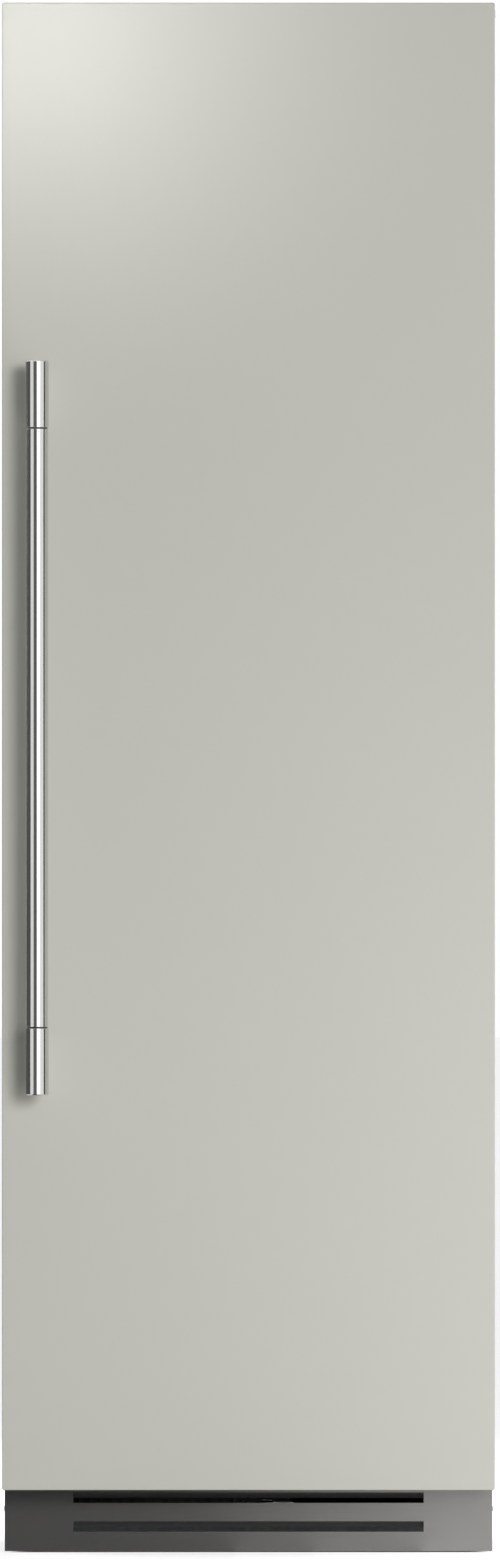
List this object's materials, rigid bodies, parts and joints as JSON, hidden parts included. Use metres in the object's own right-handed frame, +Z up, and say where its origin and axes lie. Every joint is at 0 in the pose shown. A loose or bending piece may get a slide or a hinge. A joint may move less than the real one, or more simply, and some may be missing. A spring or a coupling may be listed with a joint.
{
  "type": "column freezer",
  "caption": "Tall built-in freezer column with one right-hinged satin door, a round bar handle on the left, a louvred toe kick, shelves, drawers and an ice maker inside.",
  "frame": {"origin": "Middle of the bounding box's base, on the floor that the legs and rollers stand on.", "axes": "+Z up, the door and handle face -Y, and +X is to the right of someone who faces the door."},
  "size_m": [0.6798, 0.6758, 2.1375],
  "materials": {
    "door_steel": "satin",
    "polished_steel": "polished",
    "black_rubber": "matte",
    "gasket_grey": "matte",
    "graphite_sheet": "satin",
    "galvanised": "satin",
    "black_steel": "satin",
    "white_plastic": "satin",
    "grey_plastic": "matte",
    "black_plastic": "matte",
    "clear_plastic": "gloss",
    "foam": "matte",
    "shelf_glass": "gloss",
    "aluminium": "satin",
    "panel_glass": "gloss"
  },
  "bodies": {
    "cabinet": {"side_panel_left": "graphite_sheet", "side_panel_right": "graphite_sheet", "top_panel": "galvanised", "back_panel": "galvanised", "rear_service_cover": "galvanised", "front_rail": "graphite_sheet", "hinge_plate_top": "black_steel", "hinge_plate_bottom": "black_steel", "insulation_left": "foam", "insulation_right": "foam", "insulation_back": "foam", "insulation_top": "foam", "insulation_floor": "foam", "inner_liner": "white_plastic", "shelf_1": "shelf_glass", "shelf_2": "shelf_glass", "shelf_3": "shelf_glass", "shelf_4": "shelf_glass", "drawer_box_lower": "clear_plastic", "drawer_front_lower": "aluminium", "drawer_box_upper": "clear_plastic", "drawer_front_upper": "aluminium", "evaporator_cover": "white_plastic", "evaporator_coil": "aluminium", "ice_maker": "grey_plastic", "ice_bin": "clear_plastic", "control_panel": "panel_glass", "ceiling_light": "white_plastic", "toe_kick": "graphite_sheet", "base_pan": "galvanised", "base_rail_left": "galvanised", "base_rail_right": "galvanised", "levelling_leg_left": "black_plastic", "levelling_leg_right": "black_plastic", "condenser_coil": "black_steel", "condenser_fan_frame": "black_plastic", "compressor": "black_steel", "drain_pan": "grey_plastic", "power_inlet": "black_plastic"},
    "door": {"door_skin": "door_steel", "door_core": "foam", "door_liner": "white_plastic", "door_gasket": "gasket_grey", "bin_rail_left": "white_plastic", "bin_rail_right": "white_plastic", "door_bin_1": "clear_plastic", "door_bin_2": "clear_plastic", "door_bin_3": "clear_plastic", "hinge_bush_top": "black_plastic", "hinge_bush_bottom": "black_plastic", "handle_rod": "polished_steel", "handle_mount_top": "polished_steel", "handle_mount_bottom": "polished_steel", "handle_ring_top": "black_rubber", "handle_ring_bottom": "black_rubber"},
    "evaporator_fan": {"evaporator_fan": "black_plastic"},
    "condenser_fan": {"condenser_fan": "black_plastic"},
    "rear_roller_left": {"rear_roller_left": "black_plastic"},
    "rear_roller_right": {"rear_roller_right": "black_plastic"},
    "ice_maker_arm": {"ice_maker_arm": "galvanised"}
  },
  "joints": [
    {"name": "door_hinge", "type": "hinge", "parent": "cabinet", "child": "door", "pos_m": [0.31761, -0.24605, 1.113], "axis": [0, 0, 1], "range_deg": [0, 115]},
    {"name": "ice_maker_arm_swing", "type": "hinge", "parent": "cabinet", "child": "ice_maker_arm", "pos_m": [-0.03089, 0.08095, 1.884], "axis": [-1, 0, 0], "range_deg": [0, 45]},
    {"name": "evaporator_fan_spin", "type": "hinge", "parent": "cabinet", "child": "evaporator_fan", "pos_m": [-0.0004, 0.22395, 1.976], "axis": [0, 1, 0], "continuous": true},
    {"name": "condenser_fan_spin", "type": "hinge", "parent": "cabinet", "child": "condenser_fan", "pos_m": [-0.1504, -0.08405, 0.1176], "axis": [0, 1, 0], "continuous": true},
    {"name": "rear_roller_left_spin", "type": "hinge", "parent": "cabinet", "child": "rear_roller_left", "pos_m": [-0.3004, 0.29395, 0.018], "axis": [1, 0, 0], "continuous": true},
    {"name": "rear_roller_right_spin", "type": "hinge", "parent": "cabinet", "child": "rear_roller_right", "pos_m": [0.29961, 0.29395, 0.018], "axis": [1, 0, 0], "continuous": true}
  ]
}
